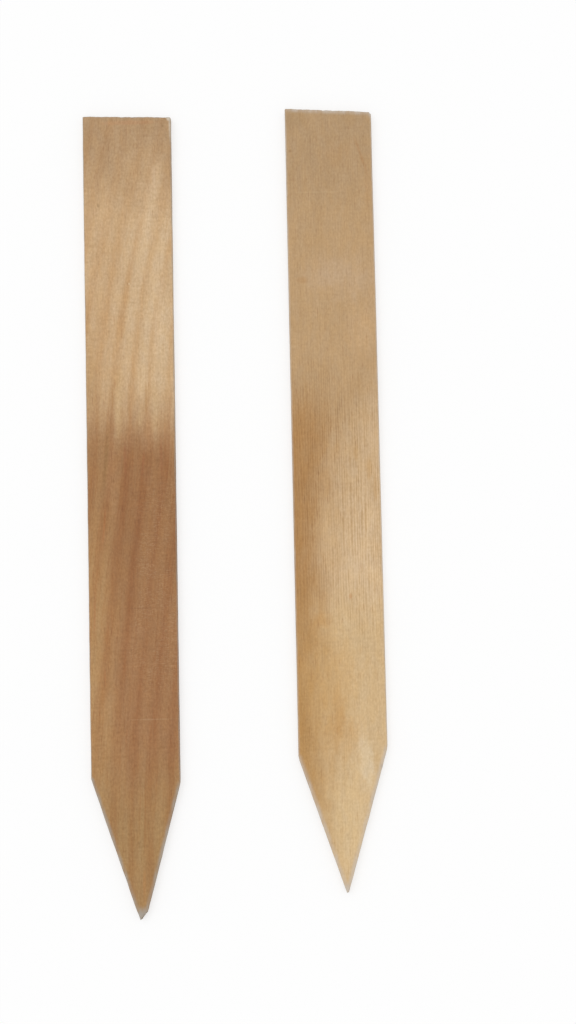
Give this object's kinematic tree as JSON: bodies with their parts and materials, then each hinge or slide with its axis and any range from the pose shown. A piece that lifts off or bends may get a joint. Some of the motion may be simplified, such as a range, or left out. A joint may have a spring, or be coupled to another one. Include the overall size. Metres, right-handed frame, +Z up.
{
  "type": "plant label stake",
  "caption": "Flat wooden label stakes with a square head, straight sides and a long cut point, lying side by side.",
  "frame": {"origin": "middle of the pair's box, on the surface they lie on", "axes": "+X across the pair from the left stake to the right one, +Y along the stakes towards their heads, +Z up through the slats"},
  "size_m": [0.0722, 0.199, 0.002],
  "materials": {
    "brown_wood": "planed, bare, lightly worn",
    "pale_wood": "planed, bare, lightly worn"
  },
  "bodies": {
    "root": {"left_stake": "brown_wood", "right_stake": "pale_wood"}
  },
  "joints": []
}
